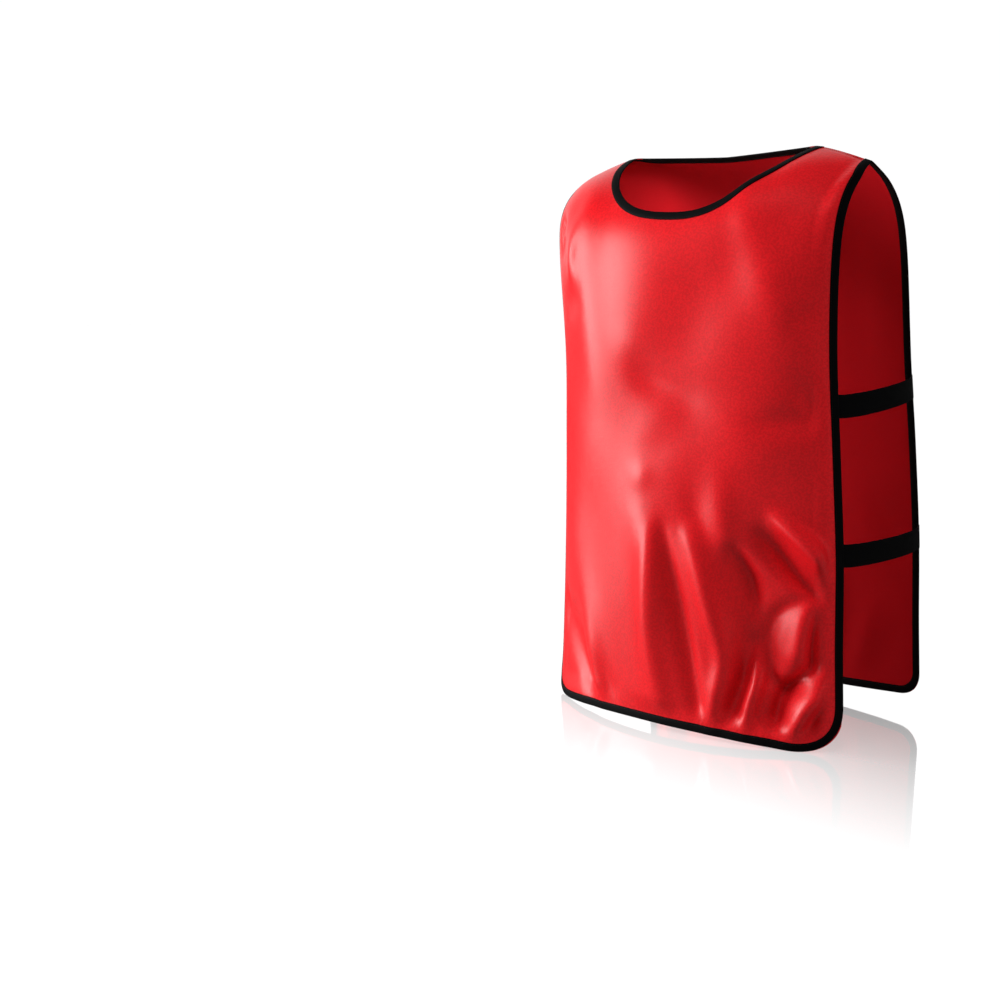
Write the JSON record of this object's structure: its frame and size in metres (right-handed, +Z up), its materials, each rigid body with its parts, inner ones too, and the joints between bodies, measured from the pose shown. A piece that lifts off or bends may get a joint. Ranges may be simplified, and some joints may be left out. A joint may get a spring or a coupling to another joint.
{
  "type": "training bib",
  "caption": "Sleeveless satin training bib in its filled-out form: wide scooped neck, open sides closed by elastic straps, narrow contrast binding.",
  "frame": {"origin": "between the wearer's shoulders, on the line of the shoulder seams at the height of the neck points, where the wearer holds the bib up", "axes": "+Z up, -Y towards the front of the bib, +X towards the wearer's left"},
  "size_m": [0.4096, 0.2909, 0.6727],
  "materials": {
    "front_satin": "satin polyester, dark and dull on the inside",
    "back_satin": "satin polyester, dark and dull on the inside",
    "neck_tape": "matt ribbed binding",
    "edge_tape": "matt ribbed binding",
    "strap_upper_left_elastic": "matt woven elastic",
    "strap_upper_right_elastic": "matt woven elastic",
    "strap_lower_left_elastic": "matt woven elastic",
    "strap_lower_right_elastic": "matt woven elastic"
  },
  "bodies": {
    "root": {"front_panel": "front_satin", "back_panel": "back_satin", "neck_binding": "neck_tape", "edge_binding": "edge_tape", "strap_upper_left": "strap_upper_left_elastic", "strap_upper_right": "strap_upper_right_elastic", "strap_lower_left": "strap_lower_left_elastic", "strap_lower_right": "strap_lower_right_elastic"}
  },
  "joints": []
}
